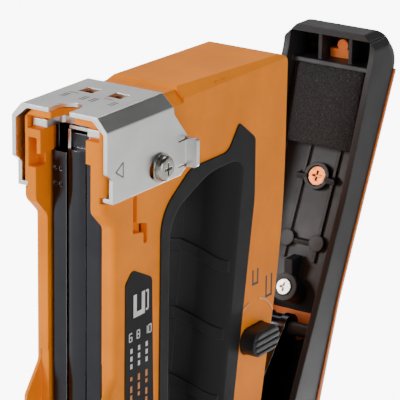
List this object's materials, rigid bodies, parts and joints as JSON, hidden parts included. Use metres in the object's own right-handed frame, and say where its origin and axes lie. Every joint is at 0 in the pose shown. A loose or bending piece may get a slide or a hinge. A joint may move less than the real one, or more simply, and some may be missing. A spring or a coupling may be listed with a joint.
{
  "type": "cable staple gun",
  "caption": "Orange and black hand staple gun for cables, standing nose up on its butt with the squeeze handle open.",
  "frame": {"origin": "centre of the flat butt that the tool stands on", "axes": "+Z from the butt up to the nose, +Y towards the squeeze handle, +X the tool's right-hand side"},
  "size_m": [0.0446, 0.1795, 0.198],
  "materials": {
    "orange_shell": "fine-textured moulded",
    "black_rubber": "soft matt",
    "zinc_sheet": "satin zinc",
    "screw_steel": "plated",
    "blued_steel": "blackened",
    "bright_steel": "ground",
    "staple_wire": "galvanised",
    "spring_wire": "oiled",
    "black_plastic": "fine-textured moulded",
    "orange_rubber": "soft matt",
    "copper_screw": "plated",
    "foam": "open-cell foam",
    "label_black": "printed panel"
  },
  "bodies": {
    "housing": {"housing_right": "orange_shell", "housing_left": "orange_shell", "housing_screws": "screw_steel", "grip_right": "black_rubber", "grip_left": "black_rubber", "guide_screws": "screw_steel", "guide_washers": "screw_steel", "guide_bushes": "zinc_sheet", "nose_plate": "zinc_sheet", "magazine_channel": "blued_steel", "spring_seat": "bright_steel", "power_spring": "spring_wire", "hammer_bumper": "black_rubber", "crank_pin": "screw_steel", "handle_pin": "screw_steel", "pin_clip": "screw_steel", "handle_spring": "spring_wire", "button_spring": "spring_wire", "size_label": "label_black"},
    "guide": {"cable_guide": "zinc_sheet"},
    "magazine_drawer": {"staple_rail": "blued_steel", "follower_rod": "screw_steel", "rail_cap": "black_plastic", "pusher_spring": "spring_wire"},
    "staple_feed": {"pusher": "black_plastic", "staple_strip": "staple_wire"},
    "hammer_unit": {"hammer": "bright_steel", "driver_blade": "bright_steel", "blade_pins": "screw_steel", "hammer_rod": "bright_steel", "tail_pin": "screw_steel"},
    "crank": {"lift_crank": "bright_steel", "crank_rod_pin": "screw_steel"},
    "rod": {"pull_rod": "bright_steel"},
    "handle": {"handle_arm": "blued_steel", "rod_pin": "screw_steel", "handle_shell": "black_plastic", "handle_overmould": "orange_rubber", "foam_pad": "foam", "handle_screw_upper": "copper_screw", "handle_screw_lower": "screw_steel", "handle_latch_block": "orange_rubber"},
    "button": {"push_button": "black_plastic"}
  },
  "joints": [
    {"name": "handle_hinge", "type": "hinge", "parent": "housing", "child": "handle", "pos_m": [0, 0.0452, 0.014], "axis": [1, 0, 0], "range_deg": [0, 18], "stiffness_Nm_per_rad": 1.2, "springref_deg": -14.32, "deforming": ["handle_spring"]},
    {"name": "hammer_slide", "type": "slide", "parent": "housing", "child": "hammer_unit", "axis": [0, 1, 0], "range_m": [-0.0001, 0.0151], "stiffness_N_per_m": 300, "springref_m": -0.01, "deforming": ["power_spring"]},
    {"name": "rod_slide", "type": "slide", "parent": "housing", "child": "rod", "axis": [0, -0.1402, -0.9901], "range_m": [-0.0001, 0.0089]},
    {"name": "crank_hinge", "type": "hinge", "parent": "housing", "child": "crank", "pos_m": [0, 0.0292, 0.17], "axis": [1, 0, 0], "range_deg": [-50.2, 0.2]},
    {"name": "guide_slide", "type": "slide", "parent": "housing", "child": "guide", "axis": [0, 1, 0], "range_m": [0, 0.003]},
    {"name": "drawer_slide", "type": "slide", "parent": "housing", "child": "magazine_drawer", "axis": [0, 0, -1], "range_m": [0, 0.11]},
    {"name": "feed_slide", "type": "slide", "parent": "magazine_drawer", "child": "staple_feed", "axis": [0, 0, 1], "range_m": [-0.05, 0], "stiffness_N_per_m": 20, "springref_m": 0.03, "deforming": ["pusher_spring"]},
    {"name": "button_slide", "type": "slide", "parent": "housing", "child": "button", "axis": [-1, 0, 0], "range_m": [0, 0.003], "stiffness_N_per_m": 400, "springref_m": -0.002, "deforming": ["button_spring"]}
  ],
  "couplings": [
    {"joint": "hammer_slide", "follows": "handle_hinge", "m_per_rad": 0.047746},
    {"joint": "rod_slide", "follows": "handle_hinge", "m_per_rad": 0.027885},
    {"joint": "crank_hinge", "follows": "handle_hinge", "ratio": -2.7753}
  ]
}
